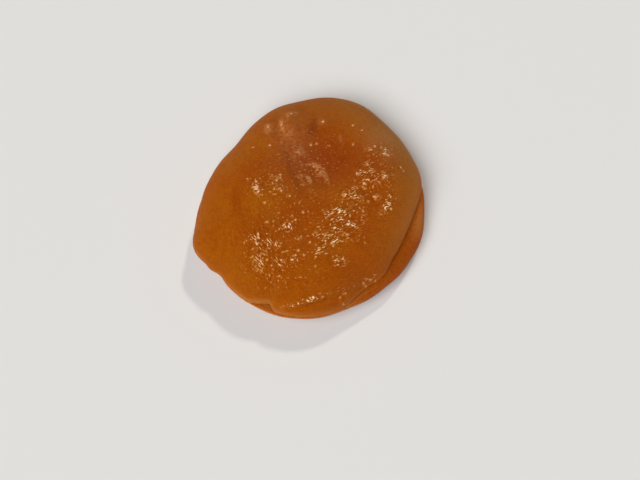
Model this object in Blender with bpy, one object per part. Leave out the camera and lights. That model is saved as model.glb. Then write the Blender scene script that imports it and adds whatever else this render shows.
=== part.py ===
"""Dried apricot, pitted whole and dried flat: one plump, wrinkled disc lying on its underside.

Two sheets meet along the slit that the stone was squeezed out of. The upper sheet is a dome
with a sunken, folded middle, and its edge is a thick lip. The lower sheet is a shallow bowl
that stands out past that lip on one side and rests on a small flat spot.

Lengths in the formulas are millimetres. The mesh is built in metres, with +Z up and the
origin under the middle of the fruit, on the surface that it rests on.
"""

import math

import bpy
import numpy as np

MM = 0.001

# Driving dimensions, mm
RADIUS = 20.35
SEAM_HEIGHT = 4.9
DOME_RISE = 5.0
LIP_RISE = 0.75
LIP_SETBACK = 2.4
SLIT_DEPTH = 0.9
HOLLOW_DEPTH = 2.1

# How far the bowl would dip below the surface if nothing held it up; that much is pressed flat
SINK = 0.42

# How full the two sheets are: 2 is an ellipse, more is flatter in the middle and rounder at the edge
DOME_FULLNESS = 2.5
BOWL_FULLNESS = 2.6
SHOULDER = 2.0

# Net of the mesh: rings from a pole to the slit, and how many of them make the lip
RINGS = 27
LIP_RINGS = 4

FLESH_COLOUR = (0.50, 0.15, 0.02, 1.0)
FLESH_ROUGHNESS = 0.42


def bump(angle, middle, spread):
    """Bell of height 1 at the angle middle, in degrees, falling off over spread degrees each way."""
    turned = angle - math.radians(middle)
    away = np.degrees(np.arctan2(np.sin(turned), np.cos(turned)))
    return np.exp(-((away / spread) ** 2))


def between(angle, low, high, soft):
    """1 between two angles, in degrees, and 0 beyond them, with an S-shaped step soft degrees wide."""
    degrees = np.degrees(angle)
    return 1.0 / (1.0 + np.exp((low - degrees) / soft)) / (1.0 + np.exp((degrees - high) / soft))


def ripple(angle, size, shift):
    """Uneven waves round the rim: sines of 5, 9 and 16 waves a turn, each weaker than the last."""
    waves = np.sin(5 * angle + shift) + 0.7 * np.sin(9 * angle + 2.3 * shift)
    return size * (waves + 0.5 * np.sin(16 * angle + 3.1 * shift))


def outline(angle):
    """Radius of the whole fruit seen from above: a circle, flattened at the back left, with a lobe."""
    flat_back = -3.0 * bump(angle, 145, 31)
    far_bulge = 1.25 * bump(angle, 68, 24)
    near_bulge = 0.5 * bump(angle, -107, 30)
    slit_side = -0.75 * bump(angle, -52, 30)
    left_side = -0.25 * bump(angle, 178, 16)
    left_lobe = 1.5 * bump(angle, -157, 10) + 0.25 * bump(angle, -145, 3) - 0.35 * bump(angle, -139, 4)
    return RADIUS + flat_back + far_bulge + near_bulge + slit_side + left_side + left_lobe


def pocket(angle):
    """The small pocket at the front left, where the lips part: it widens from 0 to 1, then shuts at once."""
    degrees = np.degrees(angle)
    return np.clip((degrees + 121.0) / 11.0, 0.0, 1.0) / (1.0 + np.exp((degrees + 109.0) / 0.8))


def slit_opening(angle):
    """How far the slit gapes, 0 to 1: along the right side and in the pocket, and closed elsewhere."""
    open_share = between(angle, -40, 8, 6) + pocket(angle)
    closed = 0.10 + 0.05 * np.sin(4 * angle + 1.0)
    return closed + (1.0 - closed) * np.clip(open_share, 0.0, 1.0)


def lip_rise(angle):
    """Height that the upper lip rolls over before it turns in: high where the slit gapes."""
    return LIP_RISE * (0.15 + 0.85 * slit_opening(angle))


def bared(angle):
    """How much of the lower lip lies bare beside the upper one, 0 to 1: all of it at the right."""
    front = 0.32 * between(angle, -76, 5, 4) + 0.35 * bump(angle, -56, 9)
    return 0.68 * between(angle, -42, 2, 4) + front


def upper_outline(angle):
    """Radius of the upper lip: the outline, set back where the lower lip is bare and in the pocket."""
    setback = LIP_SETBACK * (bared(angle) + 0.55 * pocket(angle))
    return outline(angle) - setback + ripple(angle, 0.1, 1.0)


def lower_outline(angle):
    """Radius of the lower lip, which is the outline with small waves of its own."""
    return outline(angle) + ripple(angle, 0.1, 4.0)


def lower_lip_drop(angle):
    """Height that the lower lip falls from the slit to its widest line, more where it lies bare."""
    return 0.15 + 2.05 * bared(angle)


def lower_lip_fullness(angle):
    """Exponent of the lower lip's rounding: round at the sides, a slanting wall at the front right."""
    return 2.0 - 0.4 * bump(angle, -38, 20)


def dome_shoulder(angle):
    """Exponent of the upper side's rounding: full at the back, gentler where it runs into the slit."""
    return 2.0 - 0.5 * between(angle, -85, -18, 8)


def seam_height(angle):
    """Height of the slit, which wanders up and down as it goes round."""
    sway = 0.45 * np.cos(angle - 2.9) + 0.3 * np.cos(2 * angle + 0.6)
    return SEAM_HEIGHT + sway + 0.12 * np.sin(7 * angle)


def fold(x, y, start, end, bow, width, rise):
    """One fold of the skin from start to end: a round ridge, or with a negative rise a sharp crease.

    The fold follows a parabola that leaves the straight line by bow at its middle. Across it a
    ridge is a bell and a crease is a cusp, and both die away over the last fifth at either end.
    """
    run_x, run_y = end[0] - start[0], end[1] - start[1]
    length = math.hypot(run_x, run_y)
    along = ((x - start[0]) * run_x + (y - start[1]) * run_y) / length ** 2
    across = ((y - start[1]) * run_x - (x - start[0]) * run_y) / length
    off = np.abs(across - 4.0 * bow * along * (1.0 - along)) / width
    beyond = np.maximum(np.abs(along - 0.5) - 0.3, 0.0)
    profile = np.exp(-off ** 2) if rise > 0 else np.exp(0.4 - np.hypot(off, 0.4))
    return rise * profile * np.exp(-((beyond / 0.2) ** 2))


def mound(x, y, middle, across, along, turn, rise):
    """Soft oval swelling, or with a negative rise a dent, whose long axis is turned by turn degrees."""
    c, s = math.cos(math.radians(turn)), math.sin(math.radians(turn))
    u = ((x - middle[0]) * c + (y - middle[1]) * s) / across
    v = ((y - middle[1]) * c - (x - middle[0]) * s) / along
    return rise * np.exp(-(u ** 2 + v ** 2))


def hollow(x, y):
    """Depth of the sunken middle, where the stone was: a trough that widens and deepens to the back.

    It starts as a point near the middle of the fruit. Its floor is flat, its left bank is steep
    and its right bank is a long slope.
    """
    reach = np.clip((y + 2.5) / 9.5, 0.0, 1.0)
    middle = 1.4 + 0.7 * reach
    left_half = 2.6 + 3.0 * reach
    right_half = 3.0 + 4.0 * reach
    side = np.where(x < middle, (middle - x) / left_half, (x - middle) / right_half)
    steep = np.where(x < middle, 3.6, 2.4)
    bank = 1.0 / (1.0 + side ** steep)
    rim_side = 1.0 - 0.45 * np.clip((y - 10.0) / 8.0, 0.0, 1.0)
    return HOLLOW_DEPTH * bank * (3 * reach ** 2 - 2 * reach ** 3) * rim_side


def face_forms(x, y):
    """Height of the broad forms of the upper face, mm: the sunken middle, and swellings round it."""
    height = -hollow(x, y)
    height += mound(x, y, (-11.0, 2.5), 5.5, 8.0, 10, 0.7)
    height += mound(x, y, (12.8, 5.0), 4.5, 7.5, 15, 0.75)
    height += mound(x, y, (0.0, -13.0), 9.0, 5.0, 0, 0.55)
    height += mound(x, y, (-3.4, 14.6), 2.4, 2.8, 20, 0.6)
    height += mound(x, y, (0.8, 13.8), 1.0, 2.2, -8, -0.4)
    height += mound(x, y, (-1.4, 17.6), 1.0, 1.2, 0, -0.3)
    height += mound(x, y, (-0.6, -6.4), 1.6, 4.0, -3, -0.3)
    height += mound(x, y, (10.0, 0.3), 2.4, 0.6, 0, -0.2)
    height += mound(x, y, (11.8, -3.0), 1.5, 2.2, 20, -0.2)
    # The bank of the hollow, the edge of the left flank, and the notch beside the lobe at the rim
    height += fold(x, y, (8.8, 9.5), (5.2, 1.6), -0.6, 0.9, 0.15)
    height += fold(x, y, (-12.8, 4.5), (-11.6, -9.0), -1.2, 1.2, 0.15)
    height += fold(x, y, (-15.6, -12.6), (-15.4, -6.0), 0.4, 0.7, -0.3)
    return height


def face_folds(x, y):
    """Height of the separate folds of the upper face, mm: rounded ridges and a few sharp creases."""
    # Back left: the edges of the pinched lobe and the creases of the stalk end
    height = fold(x, y, (-5.1, 14.6), (-4.7, 12.2), -0.1, 0.65, 0.18)
    height += fold(x, y, (-7.5, 13.8), (-7.3, 11.6), 0.0, 0.7, 0.17)
    height += fold(x, y, (-6.1, 15.9), (-5.7, 10.9), -0.2, 0.7, -0.2)
    height += fold(x, y, (-4.4, 15.4), (-2.3, 16.4), 0.1, 0.6, 0.14)
    height += fold(x, y, (2.1, 15.6), (2.5, 14.5), 0.0, 0.6, 0.1)
    # The crease of the hollow's left bank, and the arched ridges on its floor
    height += fold(x, y, (-4.9, 9.6), (-1.3, -0.4), 0.3, 0.7, -0.2)
    height += fold(x, y, (0.2, 6.3), (3.2, 2.0), 0.6, 0.6, 0.2)
    height += fold(x, y, (-1.7, 3.8), (-0.4, 1.2), -0.4, 0.6, 0.18)
    height += fold(x, y, (-2.8, 7.6), (-1.1, 8.4), 0.1, 0.7, 0.22)
    # Right shoulder: folds that run in towards the hollow, and short ones across them
    height += fold(x, y, (5.6, -0.3), (9.1, -1.6), 0.1, 0.6, 0.17)
    height += fold(x, y, (10.9, -0.9), (12.3, -0.5), 0.0, 0.6, 0.15)
    height += fold(x, y, (6.8, 0.5), (8.3, 0.6), 0.1, 0.6, 0.14)
    height += fold(x, y, (8.1, 3.6), (11.2, 4.4), 0.2, 0.7, 0.15)
    height += fold(x, y, (12.8, 2.2), (13.3, 3.8), 0.1, 0.6, 0.15)
    height += fold(x, y, (13.9, 0.0), (11.8, -3.8), 0.3, 0.6, 0.17)
    height += fold(x, y, (9.4, -3.2), (9.1, -5.7), 0.0, 0.6, 0.14)
    height += fold(x, y, (9.6, 8.5), (13.6, 7.8), 0.9, 0.7, 0.15)
    # Middle, between the point of the hollow and the smooth front
    height += fold(x, y, (2.4, -3.5), (3.5, -4.5), 0.0, 0.6, 0.13)
    height += fold(x, y, (4.4, -3.1), (6.4, -4.4), 0.1, 0.6, 0.17)
    height += fold(x, y, (6.1, -5.8), (8.0, -6.5), 0.2, 0.6, 0.15)
    height += fold(x, y, (3.9, -6.6), (6.8, -8.4), 0.1, 0.6, 0.16)
    height += fold(x, y, (0.9, -7.9), (4.3, -7.6), -0.6, 0.6, 0.14)
    height += fold(x, y, (3.7, -9.6), (5.1, -8.6), 0.1, 0.6, 0.15)
    height += fold(x, y, (0.8, -11.5), (3.0, -10.0), 0.1, 0.6, 0.14)
    height += fold(x, y, (3.9, -12.6), (6.1, -12.2), 0.2, 0.6, 0.14)
    # Left shoulder
    height += fold(x, y, (-9.8, 0.5), (-8.3, -1.0), 0.5, 0.6, 0.18)
    height += fold(x, y, (-6.8, 2.7), (-5.4, 2.0), 0.1, 0.6, 0.15)
    height += fold(x, y, (-5.9, 0.7), (-4.5, 0.0), 0.2, 0.6, 0.15)
    # The fan of slanting folds in front of it
    height += fold(x, y, (-4.7, -6.8), (-3.1, -8.0), 1.0, 0.6, 0.17)
    height += fold(x, y, (-9.3, -8.2), (-8.2, -10.5), 0.1, 0.6, 0.18)
    height += fold(x, y, (-7.4, -8.8), (-6.5, -9.5), 0.2, 0.6, 0.15)
    height += fold(x, y, (-5.6, -8.9), (-5.2, -10.5), -0.1, 0.6, 0.17)
    height += fold(x, y, (-3.1, -12.4), (-2.2, -11.7), 0.0, 0.6, 0.14)
    height += fold(x, y, (-5.9, -11.8), (-4.6, -13.5), 0.1, 0.6, 0.13)
    height += fold(x, y, (-9.0, -11.4), (-8.1, -13.0), 0.1, 0.6, 0.13)
    return height


def front_crease(x, y):
    """Depth of the crease that runs round the front just inside the edge, from the pocket to the right."""
    return fold(x, y, (-5.4, -20.0), (12.6, -13.0), -1.1, 0.5, -0.4)


def underside_relief(reach, angle):
    """Height of the shallow puckers under the fruit, which fan out from the flat spot to the rim."""
    lobes = np.sin(5 * angle + 1.1 + 2.0 * reach) + 0.7 * np.sin(9 * angle - 2.5 * reach)
    lobes += 0.5 * np.sin(14 * angle + 0.6 + 3.0 * reach)
    return 0.22 * lobes * np.sin(math.pi * np.clip(reach, 0.0, 1.0)) ** 1.5


def rest_on_surface(height, softness=0.2):
    """Presses whatever would hang below the surface up to exactly 0, with a short rounded edge."""
    rounded = (height + softness) ** 2 / (4.0 * softness)
    return np.where(height <= -softness, 0.0, np.where(height < softness, rounded, height))


def spread_rings(step):
    """Share of the radius at each ring: even in the middle, closer where the side turns down."""
    return 0.5 * step + 0.5 * np.sin(0.5 * math.pi * step)


def upper_sheet(ring, angle):
    """Points of the dome and of the lip that curls under it into the slit.

    The dome is a superellipse from the pole to the lip, plus the relief, which fades out at the
    edge. The lip is a quarter of an ellipse that turns in by the slit's depth.
    """
    dome_rings = RINGS - LIP_RINGS
    reach = spread_rings(np.clip(ring / dome_rings, 0.0, 1.0))
    curl = np.clip((ring - dome_rings) / LIP_RINGS, 0.0, 1.0) * 0.5 * math.pi
    lip = upper_outline(angle)
    radius = lip * reach
    x, y = radius * np.cos(angle), radius * np.sin(angle)
    roundness = 2.0 + (dome_shoulder(angle) - 2.0) * reach ** 2
    dome = DOME_RISE * (1.0 - reach ** DOME_FULLNESS) ** (1.0 / roundness)
    relief = face_forms(x, y) + face_folds(x, y)
    radius = radius - SLIT_DEPTH * slit_opening(angle) * (1.0 - np.cos(curl))
    seam = SEAM_HEIGHT + (seam_height(angle) - SEAM_HEIGHT) * reach ** 2
    height = seam + LIP_RISE + (lip_rise(angle) - LIP_RISE) * reach ** 4
    height = height - lip_rise(angle) * np.sin(curl) + dome + relief * (1.0 - reach ** 7)
    height = height + front_crease(x, y) * np.clip((1.0 - reach) / 0.03, 0.0, 1.0)
    return radius, height


def lower_sheet(ring, angle):
    """Points of the bowl, from the flat spot it rests on, up its side and back into the slit.

    The lip is a quarter of a superellipse, from the widest line up and in to the slit's floor.
    """
    bowl_rings = RINGS - LIP_RINGS
    reach = spread_rings(np.clip(ring / bowl_rings, 0.0, 1.0))
    curl = np.clip((ring - bowl_rings) / LIP_RINGS, 0.0, 1.0) * 0.5 * math.pi
    slit_floor = upper_outline(angle) - SLIT_DEPTH * slit_opening(angle)
    lip = lower_outline(angle)
    drop = lower_lip_drop(angle)
    edge = seam_height(angle) - drop
    bowl = edge - (edge + SINK) * (1.0 - reach ** BOWL_FULLNESS) ** (1.0 / SHOULDER)
    bowl = rest_on_surface(bowl + underside_relief(reach, angle))
    power = 2.0 / lower_lip_fullness(angle)
    inward = np.maximum(np.cos(curl), 0.0) ** power
    radius = np.where(curl > 0.0, slit_floor + (lip - slit_floor) * inward, lip * reach)
    return radius, bowl + drop * np.sin(curl) ** power


def disc_net(rings):
    """Ring number and angle of every point of a square net that is pressed out into a disc.

    Each square of the net becomes a circle, and the points of its four sides keep even steps
    of angle, so the cells stay near square from the pole to the rim.
    """
    steps = np.arange(-rings, rings + 1)
    a, b = np.meshgrid(steps, steps, indexing="ij")
    ring = np.maximum(np.abs(a), np.abs(b))
    safe = np.maximum(ring, 1)
    eighth = 0.25 * math.pi
    from_side = eighth * b / safe * np.sign(a) + np.where(a < 0, math.pi, 0.0)
    from_end = np.sign(b) * (0.5 * math.pi - eighth * a / safe)
    return ring, np.where(np.abs(a) >= np.abs(b), from_side, from_end)


def net_triangles(index, rings):
    """Two triangles for each cell of the net, cut along the diagonal that points at the pole."""
    low, right, far, left = index[:-1, :-1], index[1:, :-1], index[1:, 1:], index[:-1, 1:]
    side = np.arange(-rings, rings) + 0.5
    outward = np.sign(side[:, None] * side[None, :]) > 0
    first = np.where(outward[..., None], np.stack([low, right, far], -1), np.stack([low, right, left], -1))
    second = np.where(outward[..., None], np.stack([low, far, left], -1), np.stack([right, far, left], -1))
    return np.concatenate([first.reshape(-1, 3), second.reshape(-1, 3)])


def fruit_mesh(name):
    """Joins the two sheets at the bottom of the slit into one closed mesh, in metres."""
    ring, angle = disc_net(RINGS)
    inner = ring < RINGS
    sheets = []
    for sheet in (upper_sheet, lower_sheet):
        radius, height = sheet(ring, angle)
        sheets.append(np.stack([radius * np.cos(angle), radius * np.sin(angle), height], axis=-1))
    points = np.concatenate([sheets[0].reshape(-1, 3), sheets[1][inner]])
    points[:, :2] -= 0.5 * (points[:, :2].min(axis=0) + points[:, :2].max(axis=0))
    upper_index = np.arange(ring.size).reshape(ring.shape)
    lower_index = upper_index.copy()
    lower_index[inner] = ring.size + np.arange(inner.sum())
    upper_faces = net_triangles(upper_index, RINGS)
    lower_faces = net_triangles(lower_index, RINGS)[:, ::-1]
    mesh = bpy.data.meshes.new(name)
    mesh.from_pydata((points * MM).tolist(), [], np.concatenate([upper_faces, lower_faces]).tolist())
    mesh.validate()
    mesh.shade_smooth()
    return mesh


def flesh_material():
    """Amber flesh under a thin glossy skin."""
    material = bpy.data.materials.new("apricot_flesh")
    material.use_nodes = True
    surface = material.node_tree.nodes["Principled BSDF"]
    surface.inputs["Base Color"].default_value = FLESH_COLOUR
    surface.inputs["Roughness"].default_value = FLESH_ROUGHNESS
    surface.inputs["Metallic"].default_value = 0.0
    return material


for old in list(bpy.data.objects):
    bpy.data.objects.remove(old)

fruit = bpy.data.objects.new("dried_apricot", fruit_mesh("dried_apricot"))
fruit.data.materials.append(flesh_material())
bpy.context.scene.collection.objects.link(fruit)
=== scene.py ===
"""Looks of a pitted dried apricot: wrinkled skin, amber flesh, floor, light and camera.

Lengths in the shape's formulas are millimetres, and the meshes are built in metres.
"""

import math

import bpy
import numpy as np
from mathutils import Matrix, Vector


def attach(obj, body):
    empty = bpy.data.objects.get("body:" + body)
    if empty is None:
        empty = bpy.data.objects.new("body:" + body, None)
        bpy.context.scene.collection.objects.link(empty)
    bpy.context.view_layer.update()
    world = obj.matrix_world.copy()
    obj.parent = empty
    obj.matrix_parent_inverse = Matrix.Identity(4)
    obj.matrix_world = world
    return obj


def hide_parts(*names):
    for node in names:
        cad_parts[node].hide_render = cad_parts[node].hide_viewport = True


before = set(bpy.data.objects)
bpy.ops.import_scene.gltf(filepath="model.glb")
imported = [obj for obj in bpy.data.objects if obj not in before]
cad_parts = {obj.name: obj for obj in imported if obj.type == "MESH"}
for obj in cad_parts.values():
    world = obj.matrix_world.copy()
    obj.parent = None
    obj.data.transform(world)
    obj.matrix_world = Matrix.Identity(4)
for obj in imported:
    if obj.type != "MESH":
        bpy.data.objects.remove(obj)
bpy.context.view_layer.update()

# The rim of the fruit.
# A whole apricot loses its stone through a slit in its side and is pressed flat as it dries.
# The slit's two edges shrink into thick lips, and the lower one stands out past the upper.

RADIUS = 20.35
SEAM_HEIGHT = 4.9
LIP_RISE = 0.75
LIP_SETBACK = 2.4
SLIT_DEPTH = 0.9
RIM_WAVES = 0.1
ELLIPSE = 2.0  # the exponent of a plain round side, and a smaller one makes it slant


def unit(values):
    """Values held between 0 and 1."""
    return np.clip(values, 0.0, 1.0)


def bump(angle, middle, spread):
    """Bell of height 1 at the angle middle, in degrees, falling off over spread degrees a side."""
    turned = angle - math.radians(middle)
    away = np.degrees(np.arctan2(np.sin(turned), np.cos(turned)))
    return np.exp(-((away / spread) ** 2))


def between(angle, low, high, soft):
    """1 between two angles, in degrees, and 0 beyond, with an S-shaped step soft degrees wide."""
    degrees = np.degrees(angle)
    risen = 1.0 / (1.0 + np.exp((low - degrees) / soft))
    return risen / (1.0 + np.exp((degrees - high) / soft))


def ripple(angle, size, shift):
    """Uneven waves round the rim: sines of 5, 9 and 16 waves a turn, each weaker than the last."""
    waves = np.sin(5 * angle + shift) + 0.7 * np.sin(9 * angle + 2.3 * shift)
    return size * (waves + 0.5 * np.sin(16 * angle + 3.1 * shift))


def outline(angle):
    """Radius of the whole fruit from above: a circle with a flat back left, bulges and a lobe."""
    flat_back = -3.0 * bump(angle, 145, 31)
    far_bulge = 1.25 * bump(angle, 68, 24)
    near_bulge = 0.5 * bump(angle, -107, 30)
    slit_side = -0.75 * bump(angle, -52, 30)
    left_side = -0.25 * bump(angle, 178, 16)
    left_lobe = 1.5 * bump(angle, -157, 10) + 0.25 * bump(angle, -145, 3)
    left_lobe -= 0.35 * bump(angle, -139, 4)
    return RADIUS + flat_back + far_bulge + near_bulge + slit_side + left_side + left_lobe


def pocket(angle):
    """The small pocket at the front left, where the lips part: it widens to 1, then shuts."""
    degrees = np.degrees(angle)
    widening = unit((degrees + 121.0) / 11.0)
    return widening / (1.0 + np.exp((degrees + 109.0) / 0.8))


def slit_opening(angle):
    """How far the slit gapes, 0 to 1: along the right side and in the pocket, closed elsewhere."""
    open_share = between(angle, -40, 8, 6) + pocket(angle)
    closed = 0.10 + 0.05 * np.sin(4 * angle + 1.0)
    return closed + (1.0 - closed) * unit(open_share)


def lip_rise(angle):
    """Height that the upper lip rolls over before it turns in: high where the slit gapes."""
    return LIP_RISE * (0.15 + 0.85 * slit_opening(angle))


def bared(angle):
    """How much of the lower lip lies bare beside the upper one, 0 to 1: all of it at the right."""
    front = 0.32 * between(angle, -76, 5, 4) + 0.35 * bump(angle, -56, 9)
    return 0.68 * between(angle, -42, 2, 4) + front


def upper_outline(angle):
    """Radius of the upper lip: the outline, set back where the lower lip lies bare."""
    setback = LIP_SETBACK * (bared(angle) + 0.55 * pocket(angle))
    return outline(angle) - setback + ripple(angle, RIM_WAVES, 1.0)


def lower_outline(angle):
    """Radius of the lower lip, which is the outline with small waves of its own."""
    return outline(angle) + ripple(angle, RIM_WAVES, 4.0)


def lower_lip_drop(angle):
    """Height that the lower lip falls from the slit to its widest line, more where it lies bare."""
    return 0.15 + 2.05 * bared(angle)


def lower_lip_fullness(angle):
    """Exponent of the lower lip's rounding: round at the sides, slanting at the front right."""
    return ELLIPSE - 0.4 * bump(angle, -38, 20)


def dome_shoulder(angle):
    """Exponent of the upper side's rounding: full at the back, gentler where it meets the slit."""
    return ELLIPSE - 0.5 * between(angle, -85, -18, 8)


def seam_height(angle):
    """Height of the slit, which wanders as it goes round: waves of 1, 2 and 7 to the turn."""
    height = SEAM_HEIGHT + 0.45 * np.cos(angle - 2.9) + 0.3 * np.cos(2 * angle + 0.6)
    return height + 0.12 * np.sin(7 * angle)


# The sunken face.
# The flesh over the empty stone hollow has sunk and folded, and shoulders stand round it.
# Big folds run into the hollow, and fine wrinkles of the drying skin lie across them.

HOLLOW_DEPTH = 2.1
FOLD_HALF = 0.3  # share of a fold's length, each side of its middle, that is at full height
FOLD_FADE = 0.2
CREASE_EDGE = 0.4
FLANK_PLEATS = 0.03
GOLDEN_ANGLE = 2.399963
GOLDEN_SHARE = 0.618034
RUFFLE_WAVES = 10
WANDER = 0.7
WANDER_LENGTH = 5.0
BROAD_WRINKLE = 0.09
NARROW_WRINKLE = 0.06
WRINKLE_FLOOR = 0.045
RISING_WRINKLES = 24
FALLING_WRINKLES = -55

# Swellings and dents: the middle, the reach across and along, the turn in degrees, the rise
SWELLINGS = (
    ((-11.0, 2.5), 5.5, 8.0, 10, 0.7),
    ((12.8, 5.0), 4.5, 7.5, 15, 0.75),
    ((0.0, -13.0), 9.0, 5.0, 0, 0.55),
    ((-3.4, 14.6), 2.4, 2.8, 20, 0.6),
    ((0.8, 13.8), 1.0, 2.2, -8, -0.4),
    ((-1.4, 17.6), 1.0, 1.2, 0, -0.3),
    ((-0.6, -6.4), 1.6, 4.0, -3, -0.3),
    ((10.0, 0.3), 2.4, 0.6, 0, -0.2),
    ((11.8, -3.0), 1.5, 2.2, 20, -0.2),
)

# Folds: where each starts and ends, how far it bows, its width, its rise
BROAD_FOLDS = (
    # The bank of the hollow, the edge of the left flank, and the notch beside the lobe at the rim
    ((8.8, 9.5), (5.2, 1.6), -0.6, 0.9, 0.15),
    ((-12.8, 4.5), (-11.6, -9.0), -1.2, 1.2, 0.15),
    ((-15.6, -12.6), (-15.4, -6.0), 0.4, 0.7, -0.3),
)
FOLDS = (
    # Back left: the edges of the pinched lobe and the creases of the stalk end
    ((-5.1, 14.6), (-4.7, 12.2), -0.1, 0.45, 0.18),
    ((-7.5, 13.8), (-7.3, 11.6), 0.0, 0.5, 0.18),
    ((-6.1, 15.9), (-5.7, 10.9), -0.2, 0.6, -0.2),
    ((-4.4, 15.4), (-2.3, 16.4), 0.1, 0.45, 0.16),
    ((2.1, 15.6), (2.5, 14.5), 0.0, 0.5, 0.12),
    ((0.0, 12.3), (1.0, 10.8), 0.0, 0.4, 0.07),
    ((5.2, 13.0), (5.4, 9.7), 0.2, 0.6, 0.07),
    # The crease of the hollow's left bank, and the arched ridges on its floor
    ((-4.9, 9.6), (-1.3, -0.4), 0.3, 0.6, -0.2),
    ((0.2, 6.3), (3.2, 2.0), 0.6, 0.45, 0.2),
    ((1.2, 4.5), (1.8, 3.3), 0.0, 0.35, 0.12),
    ((-1.7, 3.8), (-0.4, 1.2), -0.4, 0.5, 0.2),
    ((-0.5, 3.5), (0.2, 2.1), 0.1, 0.35, 0.14),
    ((0.0, 0.8), (0.6, -0.7), 0.0, 0.4, 0.12),
    ((-2.1, 4.9), (-1.1, 5.6), 0.1, 0.45, 0.1),
    ((-2.8, 7.6), (-1.1, 8.4), 0.1, 0.7, 0.25),
    # Right shoulder: folds that run in towards the hollow, and short ones across them
    ((5.6, -0.3), (7.2, -1.0), 0.2, 0.55, 0.18),
    ((7.4, -0.7), (9.1, -1.6), 0.1, 0.4, 0.17),
    ((10.9, -0.9), (12.3, -0.5), 0.0, 0.4, 0.17),
    ((6.8, 0.5), (8.3, 0.6), 0.1, 0.4, 0.17),
    ((8.7, 1.8), (9.5, 0.7), 0.3, 0.4, 0.16),
    ((8.1, 3.6), (10.5, 3.7), 0.1, 0.5, 0.15),
    ((10.2, 3.8), (11.2, 4.5), 0.0, 0.4, 0.13),
    ((9.3, 5.5), (11.1, 6.1), 0.0, 0.4, 0.11),
    ((10.3, 2.0), (11.5, 2.2), 0.0, 0.5, 0.11),
    ((12.8, 2.2), (13.3, 3.8), 0.1, 0.4, 0.17),
    ((13.6, 0.0), (14.2, -1.1), 0.1, 0.4, 0.14),
    ((13.8, -1.2), (12.7, -2.6), 0.2, 0.4, 0.18),
    ((12.8, -3.0), (11.7, -3.9), 0.1, 0.4, 0.14),
    ((9.4, -3.2), (9.1, -5.7), 0.0, 0.4, 0.16),
    ((9.5, 8.4), (10.9, 9.3), 0.3, 0.5, 0.12),
    ((13.3, 9.4), (12.9, 7.7), 0.1, 0.4, 0.17),
    ((13.2, 7.5), (14.0, 7.8), 0.0, 0.4, 0.15),
    # Middle, between the point of the hollow and the smooth front
    ((2.4, -3.5), (3.5, -4.5), 0.0, 0.45, 0.14),
    ((4.4, -3.1), (5.4, -4.1), 0.1, 0.5, 0.19),
    ((5.5, -3.4), (6.4, -4.4), 0.0, 0.4, 0.16),
    ((6.1, -5.8), (8.0, -6.5), 0.2, 0.45, 0.17),
    ((3.9, -6.6), (5.5, -7.4), 0.1, 0.4, 0.17),
    ((5.8, -7.5), (6.8, -8.4), 0.0, 0.4, 0.15),
    ((2.2, -8.6), (4.3, -7.5), 0.1, 0.4, 0.14),
    ((0.7, -7.6), (1.8, -8.0), 0.0, 0.4, 0.13),
    ((3.7, -9.6), (5.1, -8.6), 0.1, 0.4, 0.18),
    ((0.8, -11.5), (3.0, -10.0), 0.1, 0.4, 0.14),
    ((4.7, -11.8), (6.1, -12.2), 0.1, 0.4, 0.17),
    ((3.9, -12.4), (5.0, -12.9), 0.1, 0.4, 0.15),
    # Left shoulder
    ((-9.8, 0.5), (-8.5, 0.4), 0.1, 0.6, 0.2),
    ((-8.8, 0.0), (-8.3, -1.1), 0.0, 0.4, 0.14),
    ((-6.8, 2.7), (-5.4, 2.0), 0.1, 0.45, 0.16),
    ((-5.9, 0.7), (-4.5, 0.0), 0.2, 0.5, 0.16),
    # The fan of slanting folds in front of it
    ((-4.8, -6.9), (-3.4, -6.1), 0.1, 0.45, 0.17),
    ((-3.7, -6.0), (-3.1, -8.0), 0.1, 0.4, 0.18),
    ((-2.4, -9.1), (-1.4, -8.2), 0.0, 0.4, 0.15),
    ((-9.3, -8.2), (-8.2, -10.5), 0.1, 0.45, 0.18),
    ((-7.4, -8.8), (-6.5, -9.5), 0.2, 0.45, 0.16),
    ((-5.6, -8.9), (-5.2, -10.5), -0.1, 0.45, 0.18),
    ((-3.1, -12.4), (-2.2, -11.7), 0.0, 0.4, 0.17),
    ((-5.9, -11.8), (-4.6, -13.5), 0.1, 0.4, 0.14),
    ((-9.4, -12.2), (-8.3, -13.2), 0.1, 0.4, 0.13),
    ((-8.8, -11.2), (-8.0, -12.7), 0.0, 0.35, 0.12),
    ((-9.3, -13.3), (-7.8, -14.2), 0.1, 0.35, 0.1),
)

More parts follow.
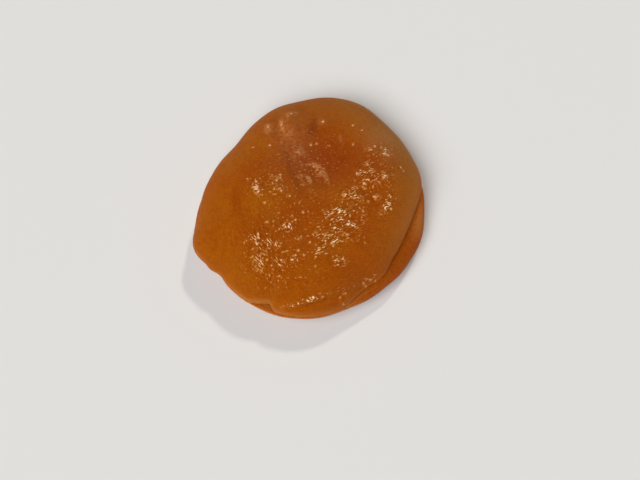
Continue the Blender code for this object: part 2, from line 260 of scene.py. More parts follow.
# Patches of fine wrinkles, written as the swellings are, with their strength for the rise
WRINKLED_PATCHES = (
    ((10.2, 3.4), 2.6, 3.6, -10, 0.8),
    ((12.8, 8.6), 2.2, 1.4, 0, 0.9),
    ((7.8, -0.8), 3.2, 1.5, -10, 1.0),
    ((13.6, -1.8), 1.0, 2.4, -25, 0.7),
    ((4.8, -4.0), 2.9, 1.9, 0, 1.0),
    ((7.2, -5.8), 2.4, 1.6, -30, 0.9),
    ((3.4, -8.2), 3.2, 2.4, 10, 0.8),
    ((5.0, -12.4), 1.6, 0.8, 0, 0.7),
    ((-8.0, -8.2), 2.8, 2.6, 0, 1.0),
    ((-8.0, -12.4), 3.2, 2.2, 0, 0.7),
    ((-3.9, -6.4), 1.6, 1.5, 0, 0.9),
    ((-3.6, -12.0), 2.0, 1.8, 0, 0.6),
    ((-9.0, 0.9), 1.6, 1.8, 0, 0.9),
    ((-5.6, 1.2), 2.2, 2.8, 0, 0.75),
    ((-0.8, -3.6), 1.4, 0.9, 0, 0.9),
    ((0.4, 4.0), 3.0, 3.2, 0, 0.38),
    ((-5.0, 13.6), 3.4, 3.6, 0, 0.24),
    ((15.6, 5.4), 1.4, 1.2, 0, 0.5),
    ((-2.0, -15.2), 5.0, 2.0, 0, 0.3),
    ((13.7, 3.4), 0.8, 1.8, 0, 0.6),
    ((8.8, -8.6), 0.9, 0.9, 0, 0.6),
    ((1.4, -11.2), 1.6, 0.9, 0, 0.6),
    ((-6.6, -15.0), 2.4, 1.8, 0, 0.4),
    ((-1.0, -9.0), 1.6, 1.6, 0, 0.3),
)


def fold(x, y, start, end, bow, width, rise):
    """One fold of the skin: a round ridge, or with a negative rise a sharp crease.

    It follows a parabola that leaves the line from start to end by bow at its middle. Across it a
    ridge is a bell and a crease is a cusp, and both die away over the last fifth at either end.
    """
    run_x, run_y = end[0] - start[0], end[1] - start[1]
    length = math.hypot(run_x, run_y)
    along = ((x - start[0]) * run_x + (y - start[1]) * run_y) / length ** 2
    across = ((y - start[1]) * run_x - (x - start[0]) * run_y) / length
    off = np.abs(across - 4.0 * bow * along * (1.0 - along)) / width
    beyond = np.maximum(np.abs(along - 0.5) - FOLD_HALF, 0.0)
    profile = np.exp(-off ** 2) if rise > 0 else np.exp(CREASE_EDGE - np.hypot(off, CREASE_EDGE))
    return rise * profile * np.exp(-((beyond / FOLD_FADE) ** 2))


def bump_at(x, y, middle, reach):
    """Round soft spot: a bell of height 1 at middle, mm, that falls off over reach."""
    return np.exp(-(((x - middle[0]) / reach) ** 2 + ((y - middle[1]) / reach) ** 2))


def mound(x, y, middle, across, along, turn, rise):
    """Soft oval swelling, or with a negative rise a dent: a bell turned by turn degrees."""
    c, s = math.cos(math.radians(turn)), math.sin(math.radians(turn))
    u = ((x - middle[0]) * c + (y - middle[1]) * s) / across
    v = ((y - middle[1]) * c - (x - middle[0]) * s) / along
    return rise * np.exp(-(u ** 2 + v ** 2))


def add_each(total, shape, x, y, rows):
    """Adds one shape, a fold or a mound, for each row of its numbers."""
    for row in rows:
        total = total + shape(x, y, *row)
    return total


def hollow(x, y):
    """Depth of the sunken middle over the lost stone: a trough that deepens to the back.

    It starts as a point near the middle of the fruit. Its floor is flat, its left bank is steep
    and its right bank is a long slope.
    """
    reach = unit((y + 2.5) / 9.5)
    middle = 1.4 + 0.7 * reach
    left_half = 2.6 + 3.0 * reach
    right_half = 3.0 + 4.0 * reach
    side = np.where(x < middle, (middle - x) / left_half, (x - middle) / right_half)
    steep = np.where(x < middle, 3.6, 2.4)
    bank = 1.0 / (1.0 + side ** steep)
    rim_side = 1.0 - 0.45 * unit((y - 10.0) / 8.0)
    return HOLLOW_DEPTH * bank * (3 * reach ** 2 - 2 * reach ** 3) * rim_side


def face_forms(x, y):
    """Height of the broad forms of the upper face: the sunken middle, and swellings round it."""
    height = add_each(-hollow(x, y), mound, x, y, SWELLINGS)
    return add_each(height, fold, x, y, BROAD_FOLDS)


def face_folds(x, y):
    """Height of the separate folds of the upper face: rounded ridges and a few sharp creases."""
    return add_each(0.0, fold, x, y, FOLDS)


def front_crease(x, y):
    """Height, below 0, of the crease that runs round the front just inside the edge."""
    return fold(x, y, (-5.4, -20.0), (12.6, -13.0), -1.1, 0.3, -0.4)


def crinkled(x, y):
    """Where the skin is finely wrinkled, 0 to 1: in patches round the hollow, not on the flanks."""
    return unit(add_each(0.0, mound, x, y, WRINKLED_PATCHES))


def ruffle(u, v, length, seed):
    """Uneven waves about length long, from -1 to 1 or so.

    They are ten sines of near lengths, and each runs a golden angle round from the last.
    """
    total = np.zeros_like(u)
    for k in range(RUFFLE_WAVES):
        turn = seed + GOLDEN_ANGLE * k
        size = length * (0.75 + 0.5 * ((GOLDEN_SHARE * k + 0.37 * seed) % 1.0))
        onward = u * math.cos(turn) + v * math.sin(turn)
        total += np.sin(2.0 * math.pi * onward / size + 5.1 * k * k + seed)
    return total / math.sqrt(RUFFLE_WAVES)


def fine_wrinkles(x, y):
    """Height of the finest wrinkles that the mesh holds.

    Two sets of ruffles lie over each other, stretched along two slanting directions. The ground
    under them is itself pushed about by a wider ruffle, so no line runs straight. Along the zero
    line of each ruffle stands a narrow rounded ridge.
    """
    bent_x = x + WANDER * ruffle(x, y, WANDER_LENGTH, 1.7)
    bent_y = y + WANDER * ruffle(x, y, WANDER_LENGTH, 4.1)
    front_left = slanting(x, y)
    height = np.zeros_like(x)
    for turn, share in ((RISING_WRINKLES, 1.0 - front_left), (FALLING_WRINKLES, front_left)):
        c, s = math.cos(math.radians(turn)), math.sin(math.radians(turn))
        along, across = (bent_x * c + bent_y * s) / 2.0, bent_y * c - bent_x * s
        broad = BROAD_WRINKLE * np.exp(-((ruffle(along, across, 3.0, turn + 2.0) / 0.45) ** 2))
        narrow = NARROW_WRINKLE * np.exp(-((ruffle(along, across, 1.7, turn + 5.0) / 0.4) ** 2))
        height += share * (broad + narrow - WRINKLE_FLOOR)
    return height


def flank_pleats(x, y):
    """Height of the faint upright pleats on the left flank: uneven waves about 1 mm across."""
    waves = np.sin(6.1 * x + 0.25 * y) + 0.7 * np.sin(8.9 * x - 0.35 * y + 1.0)
    return FLANK_PLEATS * waves * mound(x, y, (-14.0, -8.5), 2.6, 6.0, 8, 1.0)


def slanting(x, y):
    """Where the wrinkles slant down to the right, 0 to 1: an S-shaped step at the front left."""
    return 1.0 / (1.0 + np.exp((x + 2.5) / 1.2)) / (1.0 + np.exp((y + 0.5) / 1.2))


# The flesh.
# One closed body of soft amber flesh: a dome, a bowl under it, and the slit between them.
# Its weight has pressed a flat spot into the underside, round which the skin puckers.

MM = 0.001
RINGS = 110
LIP_RINGS = 14  # the outermost rings of each sheet, which turn into the slit
DOME_RISE = 5.0
SINK = 0.42  # how far the bowl would hang below the surface before it is pressed flat
DOME_FULLNESS = 2.5
BOWL_FULLNESS = 2.6
FLANK_WRINKLES = 0.2
UNDERSIDE_WRINKLES = 0.6
UNDERSIDE_LOBES = 0.22
UPPER_PLEATS = 0.05
LOWER_PLEATS = 0.08
CREASE_FADE = 0.03
REST_SOFTNESS = 0.2


def underside_relief(reach, angle):
    """Height of the shallow puckers that fan out from the flat spot: 5, 9 and 14 to the turn."""
    lobes = np.sin(5 * angle + 1.1 + 2.0 * reach) + 0.7 * np.sin(9 * angle - 2.5 * reach)
    lobes += 0.5 * np.sin(14 * angle + 0.6 + 3.0 * reach)
    return UNDERSIDE_LOBES * lobes * np.sin(math.pi * unit(reach)) ** 1.5


def puckers(reach, angle):
    """Height of the small pleats that run down from the rim: sines of 23 to 53 waves a turn."""
    waves = np.sin(23 * angle + 1.0 + 3.0 * reach) + 0.8 * np.sin(31 * angle + 2.1)
    waves += 0.7 * np.sin(40 * angle + 0.4 - 2.0 * reach) + 0.5 * np.sin(53 * angle + 1.7)
    return waves * np.sin(math.pi * unit(reach) ** 5)


def rest_on_surface(height):
    """Lifts what would hang below the surface to exactly 0, with a short parabola beside it."""
    rounded = (height + REST_SOFTNESS) ** 2 / (4.0 * REST_SOFTNESS)
    lifted = np.where(height < REST_SOFTNESS, rounded, height)
    return np.where(height <= -REST_SOFTNESS, 0.0, lifted)


def spread_rings(step):
    """Share of the radius at each ring: even in the middle, closer where the side turns down."""
    return 0.5 * step + 0.5 * np.sin(0.5 * math.pi * step)


def upper_sheet(ring, angle):
    """Points of the dome and of the lip that curls under it into the slit.

    The dome is a superellipse from the pole to the lip, plus the relief, which fades out at the
    edge. The lip is a quarter of an ellipse that turns in by the slit's depth.
    """
    dome_rings = RINGS - LIP_RINGS
    reach = spread_rings(unit(ring / dome_rings))
    curl = unit((ring - dome_rings) / LIP_RINGS) * 0.5 * math.pi
    lip = upper_outline(angle)
    radius = lip * reach
    x, y = radius * np.cos(angle), radius * np.sin(angle)
    roundness = ELLIPSE + (dome_shoulder(angle) - ELLIPSE) * reach ** 2
    dome = DOME_RISE * (1.0 - reach ** DOME_FULLNESS) ** (1.0 / roundness)
    wrinkled = FLANK_WRINKLES + (1.0 - FLANK_WRINKLES) * crinkled(x, y)
    relief = face_forms(x, y) + face_folds(x, y) + wrinkled * fine_wrinkles(x, y)
    relief = relief + UPPER_PLEATS * puckers(reach, angle) + flank_pleats(x, y)
    radius = radius - SLIT_DEPTH * slit_opening(angle) * (1.0 - np.cos(curl))
    seam = SEAM_HEIGHT + (seam_height(angle) - SEAM_HEIGHT) * reach ** 2
    height = seam + LIP_RISE + (lip_rise(angle) - LIP_RISE) * reach ** 4
    height = height - lip_rise(angle) * np.sin(curl) + dome + relief * (1.0 - reach ** 7)
    height = height + front_crease(x, y) * unit((1.0 - reach) / CREASE_FADE)
    return radius, height


def lower_sheet(ring, angle):
    """Points of the bowl, from the flat spot it rests on, up its side and back into the slit.

    The bowl is a superellipse, and its lip is a quarter of another, from the widest line up and
    in to the slit's floor.
    """
    bowl_rings = RINGS - LIP_RINGS
    reach = spread_rings(unit(ring / bowl_rings))
    curl = unit((ring - bowl_rings) / LIP_RINGS) * 0.5 * math.pi
    slit_floor = upper_outline(angle) - SLIT_DEPTH * slit_opening(angle)
    lip = lower_outline(angle)
    drop = lower_lip_drop(angle)
    edge = seam_height(angle) - drop
    bowl = edge - (edge + SINK) * (1.0 - reach ** BOWL_FULLNESS) ** (1.0 / ELLIPSE)
    x, y = lip * reach * np.cos(angle), lip * reach * np.sin(angle)
    grain = UNDERSIDE_WRINKLES * np.sin(math.pi * unit(reach)) * fine_wrinkles(x, y)
    grain = grain + LOWER_PLEATS * puckers(reach, angle)
    bowl = rest_on_surface(bowl + underside_relief(reach, angle) + grain)
    power = 2.0 / lower_lip_fullness(angle)
    inward = np.maximum(np.cos(curl), 0.0) ** power
    radius = np.where(curl > 0.0, slit_floor + (lip - slit_floor) * inward, lip * reach)
    return radius, bowl + drop * np.sin(curl) ** power


def disc_net(rings):
    """Ring number and angle of every point of a square net that is pressed out into a disc.

    Each square of the net becomes a circle, and the points of its four sides keep even steps
    of angle, so the cells stay near square from the pole to the rim.
    """
    steps = np.arange(-rings, rings + 1)
    a, b = np.meshgrid(steps, steps, indexing="ij")
    ring = np.maximum(np.abs(a), np.abs(b))
    safe = np.maximum(ring, 1)
    eighth = 0.25 * math.pi
    from_side = eighth * b / safe * np.sign(a) + np.where(a < 0, math.pi, 0.0)
    from_end = np.sign(b) * (0.5 * math.pi - eighth * a / safe)
    return ring, np.where(np.abs(a) >= np.abs(b), from_side, from_end)


def net_triangles(index, rings):
    """Two triangles for each cell of the net, cut along the diagonal that points at the pole."""
    low, right, far, left = index[:-1, :-1], index[1:, :-1], index[1:, 1:], index[:-1, 1:]
    side = np.arange(-rings, rings) + 0.5
    outward = np.sign(side[:, None] * side[None, :])[..., None] > 0
    triangles = []
    for one_cut, other_cut in (((low, right, far), (low, right, left)),
                               ((low, far, left), (right, far, left))):
        cut = np.where(outward, np.stack(one_cut, -1), np.stack(other_cut, -1))
        triangles.append(cut.reshape(-1, 3))
    return np.concatenate(triangles)


# The two sheets share the points of the outermost ring, which is the floor of the slit
ring, angle = disc_net(RINGS)
inner = ring < RINGS
sheets = []
for sheet in (upper_sheet, lower_sheet):
    radius, height = sheet(ring, angle)
    sheets.append(np.stack([radius * np.cos(angle), radius * np.sin(angle), height], axis=-1))
points = np.concatenate([sheets[0].reshape(-1, 3), sheets[1][inner]])
points[:, :2] -= 0.5 * (points[:, :2].min(axis=0) + points[:, :2].max(axis=0))

upper_index = np.arange(ring.size).reshape(ring.shape)
lower_index = upper_index.copy()
lower_index[inner] = ring.size + np.arange(inner.sum())
upper_faces = net_triangles(upper_index, RINGS)
lower_faces = net_triangles(lower_index, RINGS)[:, ::-1]
faces = np.concatenate([upper_faces, lower_faces])

apricot_mesh = bpy.data.meshes.new("apricot")
apricot_mesh.from_pydata((points * MM).tolist(), [], faces.tolist())
apricot_mesh.shade_smooth()
apricot = bpy.data.objects.new("apricot", apricot_mesh)
bpy.context.scene.collection.objects.link(apricot)

# The skin.
# A thin, tacky, glossy skin, one with the flesh under it: amber, red-brown in the hollow, tan at
# the back right. Painted highlights and sheen lighten the lips, the folds and the back right,
# painted glints lie in points and short dashes, and painted shade darkens the slit and the dips.

GLINT_REACH = 0.22
EDGE_GLINT_REACH = 0.2
EDGE_GLINT_STRENGTH = 0.65
RIDGE_HEIGHT = 0.14
SHEEN_RIDGE_HEIGHT = 0.16
CREASE_DEPTH = 0.2
CREST_HEIGHT = 0.1
RISING_DASHES = (26.0, 3.2, 5400.0)  # turn in degrees, stretch, dashes to the metre
FALLING_DASHES = (-55.0, 4.0, 5600.0)
GRAIN_DEPTH = 0.00006  # metres

# Where single painted glints lie on the face, and where smaller ones gather along the edge
SINGLE_GLINTS = (
    (10.0, -1.5), (7.6, 9.9), (11.4, 9.4), (12.5, 9.3), (15.9, 5.5), (16.4, 4.9),
    (14.0, -2.6), (-7.3, -5.7), (-7.2, -12.2), (-4.3, -12.6), (-1.9, -10.7), (-9.2, 1.7),
    (1.2, 10.3), (0.2, 10.0), (-7.0, 9.2), (7.6, 13.8), (9.2, 12.8), (-9.9, 8.9),
    (-5.1, 3.2), (0.1, -9.2), (-7.4, 13.2), (-5.0, 13.4), (-3.3, 16.0), (2.3, 14.7),
    (-2.1, 8.2), (-10.7, 2.2), (-7.7, -2.2), (-3.4, -0.9), (-3.0, -4.6), (-2.4, -5.2),
    (-1.1, -3.8), (9.2, -3.4), (-0.9, -11.5), (1.0, -13.4),
)
EDGE_GLINTS = (
    (5.2, -17.8), (5.7, -17.1), (6.1, -17.0), (5.8, -18.6), (6.4, -19.2), (6.8, -18.9),
    (10.5, -14.3), (11.3, -14.4), (9.6, -15.3), (10.1, -15.7), (9.2, -15.0),
)

# Thin lines of painted sheen on the folds round the hollow, written as the folds are
SHEEN_LINES = (
    ((-7.5, 13.9), (-7.3, 12.0), 0.05, 0.4, 1.0),
    ((-5.15, 14.9), (-4.9, 12.6), -0.1, 0.3, 0.9),
    ((-4.5, 15.6), (-2.1, 16.5), 0.15, 0.3, 0.7),
    ((-4.9, 12.1), (-2.9, 12.0), -0.4, 0.4, 0.8),
    ((-2.4, 5.3), (3.0, 3.1), 1.9, 0.3, 0.9),
    ((-2.4, 3.3), (0.3, 1.5), 1.0, 0.3, 0.9),
    ((5.3, 12.0), (5.4, 10.4), 0.0, 0.25, 0.6),
)

# Painted shade in the dips between the folds, written as the swellings are
SHADED_DIPS = (
    ((0.8, 13.8), 0.8, 1.9, -8, 1.0),
    ((-1.3, 17.6), 0.6, 0.7, 0, 0.8),
    ((9.4, 0.2), 2.0, 0.35, 0, 0.35),
    ((11.9, 3.6), 0.5, 1.3, 0, 0.3),
    ((12.2, -1.9), 1.2, 0.5, 25, 0.3),
    ((3.4, -11.5), 1.5, 0.4, 5, 0.3),
    ((5.4, -6.9), 1.4, 0.3, -15, 0.3),
    ((-6.2, -10.6), 1.8, 0.5, 0, 0.25),
)

# For each point of the mesh: how far out it lies, 0 at the pole to 1 at the slit's floor, its
# angle, whether it is on the upper sheet, and its place
way_out = np.concatenate([ring.ravel(), ring[inner]]) / RINGS
bearing = np.concatenate([angle.ravel(), angle[inner]])
above = np.arange(len(points)) < ring.size
px, py = points[:, 0], points[:, 1]


def mark(name, values, below=None):
    """Keeps one number for each point under a name that the material can read.

    Where below is given, the lower sheet takes it in place of the values.
    """
    if below is not None:
        values = np.where(above, values, below)
    layer = apricot_mesh.attributes.new(name, "FLOAT", "POINT")
    layer.data.foreach_set("value", np.asarray(values, dtype=np.float32))


def spots(rows):
    """Sum of round soft spots, each written as its middle, its reach and its strength."""
    total = np.zeros_like(px)
    for middle, reach, strength in rows:
        total += strength * bump_at(px, py, middle, reach)
    return total


def outwards(start, width):
    """0 up to start on the way out, and from there a straight rise to 1 over width."""
    return unit((way_out - start) / width)


# The colour of the hollow, and the red streak on the left flank
red_streak = mound(px, py, (-12.6, -1.6), 1.1, 3.2, 5, 0.5)
faded = 1.0 - 0.3 * unit((py - 7.5) / 4.0)
mark("sunken", hollow(px, py) / HOLLOW_DEPTH * faded + red_streak, 0.0)

# Where glints are painted: single points, along the ridges, on the crests of wrinkles, at the edge
lone = spots((place, GLINT_REACH, 1.0) for place in SINGLE_GLINTS)
lone += spots((place, EDGE_GLINT_REACH, EDGE_GLINT_STRENGTH) for place in EDGE_GLINTS)
lone += mound(px, py, (-9.3, 0.6), 0.6, 0.35, 0, 1.0)
mark("lone_glints", unit(lone), 0.0)
wrinkled = crinkled(px, py)
mark("crinkled", 0.08 + 0.92 * wrinkled, 0.12)
relief = face_folds(px, py)
dimmed = spots((((-7.5, -12.8), 3.0, 0.4), ((-6.5, 1.0), 3.5, 0.35)))
ridge_glints = unit(relief / RIDGE_HEIGHT) * unit(0.1 + 1.5 * wrinkled) * (1.0 - dimmed)
mark("ridge_glints", ridge_glints, 0.0)
crest = 1.6 * relief + 0.8 * wrinkled * fine_wrinkles(px, py)
mark("crest", unit(crest / CREST_HEIGHT), 0.5)
mark("slanting", slanting(px, py))
dotted = mound(px, py, (-3.5, -2.5), 9.0, 10.0, 0, 0.35)
dotted += mound(px, py, (0.5, 9.5), 8.0, 6.0, 0, 0.3)
mark("dotted", dotted, 0.05)
gathered = 0.25 + 0.75 * unit((3.4 - px) / 0.8)
gathered += spots((((5.8, -17.2), 1.0, 0.55), ((10.6, -14.6), 1.3, 0.5)))
mark("glinting_edge", unit(-front_crease(px, py - 0.35) / 0.15 - 0.6) * gathered, 0.0)

# Painted sheen on the folds round the hollow and at the back right, painted shade in the dips
sheen_places = spots((((0.2, 4.8), 5.0, 0.9), ((-6.0, 13.0), 3.5, 1.3), ((12.2, 8.8), 2.5, 1.0)))
sheen_spots = spots((((-3.6, 11.9), 2.8, 0.45), ((-2.0, 8.5), 1.0, 0.6), ((2.0, 14.8), 0.8, 0.5),
              ((-7.5, 12.9), 0.9, 0.5), ((-2.5, 7.5), 3.5, 0.25)))
fold_sheen = 0.6 * unit(relief / SHEEN_RIDGE_HEIGHT) * sheen_places + sheen_spots
fold_sheen += add_each(0.0, fold, px, py, SHEEN_LINES)
mark("fold_sheen", unit(fold_sheen), 0.0)
dips = add_each(0.0, mound, px, py, SHADED_DIPS) + 0.5 * unit(-relief / CREASE_DEPTH)
mark("shaded_dips", dips, 0.0)
mark("back_sheen", bump_at(px, py, (13.4, 11.4), 3.4), 0.0)

# The sides: tan skin with a painted sheen at the back right, redder skin with painted shade on
# the slit's side, golden at the front and left
by_slit = outwards(0.82, 0.05) * between(bearing, -70, 12, 5)
mark("tan_and_sheen", bump(bearing, 42, 62) * outwards(0.45, 0.3) * (1.0 - by_slit), 0.0)
front_right = 0.95 * bump(bearing, -55, 32) * outwards(0.45, 0.25)
mark("red_and_shaded", front_right, between(bearing, -88, 14, 6) * outwards(0.7, 0.1))
golden_share = 0.8 * bump(bearing, -110, 35) + 0.7 * bump(bearing, 180, 50)
mark("golden", outwards(0.5, 0.3) * golden_share)

# The lips: a painted highlight along their widest ring, painted highlights beside it, and
# painted shade in the slit
widest = np.exp(-(((way_out * RINGS - (RINGS - LIP_RINGS)) / 3.0) ** 2))
lip_share = 1.5 * bump(bearing, -116, 16) + 0.6 * bump(bearing, -160, 14)
lip_share += np.where(above, 0.45 * between(bearing, -100, 10, 6), 0.0)
upper_highlight = 0.4 * outwards(0.68, 0.12) * between(bearing, -26, 30, 8) * (1.0 - by_slit)
lower_highlight = np.exp(-(((way_out - 0.935) / 0.035) ** 2)) * bump(bearing, -7, 10)
lower_highlight += 0.7 * outwards(0.74, 0.08) * between(bearing, -118, -64, 4)
mark("lip_highlights", unit(widest * lip_share + np.where(above, upper_highlight, lower_highlight)))
slit_shade_share = outwards(np.where(above, 0.88, 0.95), 0.05) * slit_opening(bearing)
slit_shade_share += np.where(above, 0.3 * by_slit, 0.3 * outwards(0.89, 0.04) * pocket(bearing))
mark("slit_shade", unit(slit_shade_share))


def flesh_material():
    """Amber flesh that light sinks into, under a glossy skin with fine wrinkles."""
    material = bpy.data.materials.new("apricot_flesh")
    material.use_nodes = True
    tree = material.node_tree
    surface = tree.nodes["Principled BSDF"]

    def node(kind, **settings):
        """A shader node of one kind, with its inputs or its settings given by name."""
        made = tree.nodes.new(kind)
        for key, value in settings.items():
            if key in made.inputs:
                made.inputs[key].default_value = value
            else:
                setattr(made, key, value)
        return made

    def mix(factor, first, second):
        """Colour that goes from first to second as the factor goes from 0 to 1."""
        made = node("ShaderNodeMix", data_type="RGBA")
        sockets = made.inputs[0], made.inputs[6], made.inputs[7]
        for socket, value in zip(sockets, (factor, first, second)):
            if isinstance(value, bpy.types.NodeSocket):
                tree.links.new(value, socket)
            else:
                socket.default_value = value
        return made.outputs[2]

    def blend(factor, first, second):
        """Number that goes from first to second as the factor goes from 0 to 1."""
        made = node("ShaderNodeMix", data_type="FLOAT")
        for socket, value in zip(made.inputs[:1] + made.inputs[2:4], (factor, first, second)):
            tree.links.new(value, socket)
        return made.outputs[0]

    place = node("ShaderNodeTexCoord").outputs["Object"]

    def noise(scale, detail, rough):
        """Cloudy noise over the fruit, with scale clouds to the metre."""
        made = node("ShaderNodeTexNoise", Scale=scale, Detail=detail, Roughness=rough)
        tree.links.new(place, made.inputs["Vector"])
        return made.outputs["Fac"]

    def strokes(turn, stretch, scale):
        """A noise drawn out along a slanting line, so its highest spots are short dashes."""
        turned = node("ShaderNodeMapping", vector_type="TEXTURE")
        turned.inputs["Rotation"].default_value = (0.0, 0.0, math.radians(turn))
        turned.inputs["Scale"].default_value = (stretch, 1.0, 1.0)
        tree.links.new(place, turned.inputs["Vector"])
        grain = node("ShaderNodeTexNoise", Scale=scale, Detail=0.0)
        tree.links.new(turned.outputs["Vector"], grain.inputs["Vector"])
        return grain.outputs["Fac"]

    def ramp(value, low, high, out_low=0.0, out_high=1.0):
        """Straight rise or fall from out_low to out_high, as the value goes from low to high."""
        made = node("ShaderNodeMapRange")
        tree.links.new(value, made.inputs["Value"])
        numbers = {"From Min": low, "From Max": high, "To Min": out_low, "To Max": out_high}
        for key, number in numbers.items():
            made.inputs[key].default_value = number
        return made.outputs["Result"]

    def read(name):
        """The mark of this name at each point."""
        return node("ShaderNodeAttribute", attribute_name=name).outputs["Fac"]

    def joined(operation, patterns):
        """Several patterns joined at each point by one operation, the first two first."""
        result = patterns[0]
        for pattern in patterns[1:]:
            made = node("ShaderNodeMath", operation=operation)
            tree.links.new(result, made.inputs[0])
            tree.links.new(pattern, made.inputs[1])
            result = made.outputs[0]
        return result

    def times(*patterns):
        """Product of the patterns."""
        return joined("MULTIPLY", patterns)

    def largest(*patterns):
        """The greatest of the patterns at each point."""
        return joined("MAXIMUM", patterns)

    # Painted glints: dashes on the crests and ridges, beads between them, and single points
    dashes = blend(read("slanting"), strokes(*RISING_DASHES), strokes(*FALLING_DASHES))
    amount = read("crinkled")
    crest = read("crest")
    slit_shade = read("slit_shade")
    dotted = read("dotted")
    patches = times(amount, ramp(crest, 0.0, 0.7))
    uneven = ramp(noise(650.0, 1.0, 0.5), 0.42, 0.62)
    beads = ramp(noise(2400.0, 0.0, 0.5), 0.68, 0.76)
    on_crests = times(patches, uneven, ramp(dashes, 0.57, 0.65, 0.0, 0.92))
    on_ridges = times(read("ridge_glints"), ramp(dashes, 0.55, 0.64, 0.0, 0.96))
    near_folds = times(ramp(amount, 0.05, 0.5, 0.0, 0.8), ramp(crest, 0.0, 0.5, 0.6, 1.0))
    scattered = times(largest(near_folds, dotted), beads)
    edge_dashes = times(uneven, ramp(dashes, 0.55, 0.68, 0.0, 0.85))
    along_edge = times(read("glinting_edge"), largest(beads, edge_dashes))
    single = times(read("lone_glints"), ramp(dashes, 0.38, 0.52, 0.4, 1.0))
    sparkle = largest(on_crests, on_ridges, scattered, along_edge, single)

    # Painted shade between the specks, and down in the wrinkles
    speckled = largest(amount, ramp(dotted, 0.0, 0.35, 0.0, 0.55))
    off_crests = ramp(crest, 0.0, 0.6, 0.5, 1.0)
    between_specks = times(speckled, off_crests, ramp(dashes, 0.39, 0.52, 0.8, 0.0))
    valleys = times(amount, ramp(crest, 0.0, 0.5, 1.0, 0.0))

    amber = (0.39, 0.085, 0.0010, 1.0)
    golden = (0.43, 0.118, 0.0020, 1.0)
    red_brown = (0.30, 0.042, 0.0012, 1.0)
    tan = (0.35, 0.133, 0.018, 1.0)
    # Painted light and shade: shade, sheen, highlights, sheen on folds, dim and bright glints,
    # shade
    deep_shade = (0.20, 0.022, 0.001, 1.0)
    back_sheen_colour = (0.42, 0.20, 0.065, 1.0)
    painted_light = (0.52, 0.19, 0.035, 1.0)
    sheen_pink = (0.54, 0.20, 0.07, 1.0)
    dim_glint = (0.76, 0.39, 0.13, 1.0)
    glint = (1.0, 0.86, 0.60, 1.0)
    shade = (0.22, 0.040, 0.0008, 1.0)

    # Each layer of colour covers those before it: its pattern, and its own colour
    layers = (
        (ramp(read("golden"), 0.0, 1.0, 0.0, 0.8), golden),
        (ramp(read("sunken"), 0.1, 0.9, 0.0, 0.88), red_brown),
        # Painted shade on the side wall, over redder skin on the slit's side, in the slit and in
        # the dips
        (ramp(read("red_and_shaded"), 0.0, 1.0, 0.0, 0.45), red_brown),
        (ramp(slit_shade, 0.0, 1.0, 0.0, 0.45), deep_shade),
        (ramp(read("shaded_dips"), 0.0, 1.0, 0.0, 0.7), deep_shade),
        (ramp(noise(500.0, 5.0, 0.7), 0.4, 0.7, 0.0, 0.4), red_brown),
        # Tan skin under a painted sheen, a painted sheen at the back right, painted highlights on
        # the lips
        (ramp(read("tan_and_sheen"), 0.0, 1.0, 0.0, 0.95), tan),
        (ramp(read("back_sheen"), 0.0, 1.0, 0.0, 0.5), back_sheen_colour),
        (ramp(read("lip_highlights"), 0.0, 1.0, 0.0, 0.75), painted_light),
        # Painted shade in the wrinkles, in the low spots of the grain and between the specks
        (ramp(valleys, 0.0, 1.0, 0.0, 0.3), red_brown),
        (ramp(dashes, 0.36, 0.48, 0.25, 0.0), red_brown),
        (between_specks, shade),
        # Painted light on the grain's high spots, sheen on the folds and patches, and painted
        # glints
        (ramp(dashes, 0.52, 0.66, 0.0, 0.11), painted_light),
        (times(read("fold_sheen"), ramp(noise(1700.0, 2.0, 0.7), 0.38, 0.62, 0.15, 1.0)), sheen_pink),
        (ramp(patches, 0.1, 1.0, 0.0, 0.08), painted_light),
        (times(patches, ramp(dashes, 0.50, 0.64, 0.0, 0.7)), painted_light),
        (ramp(sparkle, 0.1, 0.6, 0.0, 0.95), dim_glint),
        (ramp(sparkle, 0.65, 0.95, 0.0, 0.95), glint),
    )
    colour = mix(ramp(noise(120.0, 3.0, 0.5), 0.35, 0.65), amber, golden)
    for pattern, paint in layers:
        colour = mix(pattern, colour, paint)
    tree.links.new(colour, surface.inputs["Base Color"])

    # Smoother on the crests, dull in the slit, with light that sinks in and comes out amber
    dull = largest(ramp(patches, 0.0, 0.8, 0.6, 0.24), ramp(slit_shade, 0.0, 0.3, 0.0, 0.95))
    tree.links.new(dull, surface.inputs["Roughness"])
    surface.inputs["Specular IOR Level"].default_value = 0.2
    surface.inputs["Specular Tint"].default_value = (1.0, 0.78, 0.38, 1.0)
    surface.inputs["Subsurface Weight"].default_value = 0.6
    surface.inputs["Subsurface Radius"].default_value = (1.0, 0.3, 0.08)
    surface.inputs["Subsurface Scale"].default_value = 0.003

    # The grain of the skin, strongest where it is wrinkled
    grain = node("ShaderNodeBump", Distance=GRAIN_DEPTH)
    tree.links.new(dashes, grain.inputs["Height"])
    tree.links.new(ramp(amount, 0.0, 1.0, 0.3, 1.0), grain.inputs["Strength"])
    tree.links.new(grain.outputs["Normal"], surface.inputs["Normal"])
    return material


apricot_mesh.materials.append(flesh_material())
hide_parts("dried_apricot")
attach(apricot, "root")

# The floor.
# A plain pale surface, matt, and wide enough to fill the picture from every side.

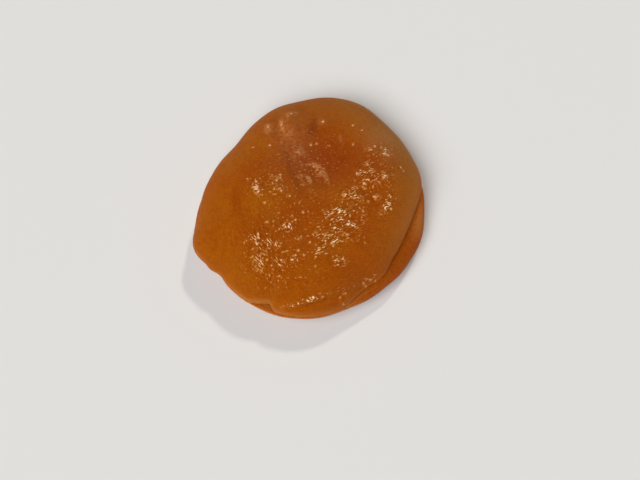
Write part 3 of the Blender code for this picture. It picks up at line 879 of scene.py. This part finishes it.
FLOOR_HALF = 2.0
FLOOR_WHITE = (0.86, 0.86, 0.86, 1.0)
FLOOR_ROUGHNESS = 0.8
floor_mesh = bpy.data.meshes.new("floor")
floor_corners = [(-1, -1), (1, -1), (1, 1), (-1, 1)]
floor_mesh.from_pydata([(x * FLOOR_HALF, y * FLOOR_HALF, 0.0) for x, y in floor_corners],
                       [], [(0, 1, 2, 3)])
floor = bpy.data.objects.new("floor", floor_mesh)
bpy.context.scene.collection.objects.link(floor)
floor_finish = bpy.data.materials.new("floor_white")
floor_finish.use_nodes = True
floor_surface = floor_finish.node_tree.nodes["Principled BSDF"]
floor_surface.inputs["Base Color"].default_value = FLOOR_WHITE
floor_surface.inputs["Roughness"].default_value = FLOOR_ROUGHNESS
floor_mesh.materials.append(floor_finish)

# The light.
# Soft studio light: a wide panel over the front left that leaves no reflection of its own, a
# small warm lamp at the back right that the skin glints in, and a grey surround.

# Each panel: its name, place and side in metres, its power in watts, its reflection, its colour
PANELS = (
    ("spark", (1.1, 2.5, 2.925), 0.35, 37.5, True, (1.0, 0.9, 0.75)),
    ("overhead", (-1.3, -1.9, 3.2), 3.0, 139.0, False, (1.0, 1.0, 1.0)),
)
# Each share of the surround: the height where it ends, its strength at the horizon and up there
SURROUND = ((0.7, 0.25, 0.05), (0.25, 0.4, 0.0))

for name, place, side, power, mirrored, colour in PANELS:
    panel = bpy.data.lights.new(name, "AREA")
    panel.size = side
    panel.energy = power
    panel.color = colour
    light = bpy.data.objects.new(name, panel)
    light.location = place
    light.rotation_euler = (-Vector(place)).to_track_quat("-Z", "Y").to_euler()
    light.visible_glossy = mirrored
    bpy.context.scene.collection.objects.link(light)

world = bpy.data.worlds.new("studio")
bpy.context.scene.world = world
world.use_nodes = True
sky = world.node_tree
ways = sky.nodes.new("ShaderNodeTexCoord")
split = sky.nodes.new("ShaderNodeSeparateXYZ")
total = sky.nodes.new("ShaderNodeMath")
sky.links.new(ways.outputs["Generated"], split.inputs[0])
for number, (top, at_horizon, at_top) in enumerate(SURROUND):
    share = sky.nodes.new("ShaderNodeMapRange")
    share.inputs["From Min"].default_value = 0.0
    share.inputs["From Max"].default_value = top
    share.inputs["To Min"].default_value = at_horizon
    share.inputs["To Max"].default_value = at_top
    sky.links.new(split.outputs["Z"], share.inputs["Value"])
    sky.links.new(share.outputs["Result"], total.inputs[number])
sky.links.new(total.outputs["Value"], sky.nodes["Background"].inputs["Strength"])
sky.nodes["Background"].inputs["Color"].default_value = (1.0, 1.0, 1.0, 1.0)
bpy.context.scene.view_settings.view_transform = "Standard"

# The camera.
# It looks down on the fruit from the front, 69 degrees above the floor. The fruit fills a third
# of the picture's width, and its middle stands left of the picture's middle and above it.

ELEVATION = math.radians(69.0)
DISTANCE = 0.2183  # metres
LENS = 70.0
NEAREST = 0.01  # metres, where the view starts
AIM_HEIGHT = 5.5
PIXELS_PER_MM = 5.61
LEFT_OF_MIDDLE = 10.0
ABOVE_MIDDLE = 36.5
camera_data = bpy.data.cameras.new("camera")
camera_data.lens = LENS
camera_data.clip_start = NEAREST
camera = bpy.data.objects.new("camera", camera_data)
towards_camera = Vector((0.0, -math.cos(ELEVATION), math.sin(ELEVATION)))
picture_up = Vector((0.0, math.sin(ELEVATION), math.cos(ELEVATION)))
aim = Vector((0.0, 0.0, AIM_HEIGHT * MM))
to_middle = Vector((LEFT_OF_MIDDLE / PIXELS_PER_MM * MM, 0.0, 0.0))
aim += to_middle - picture_up * (ABOVE_MIDDLE / PIXELS_PER_MM * MM)
camera.location = aim + towards_camera * DISTANCE
camera.rotation_euler = (-towards_camera).to_track_quat("-Z", "Y").to_euler()
bpy.context.scene.collection.objects.link(camera)
bpy.context.scene.camera = camera
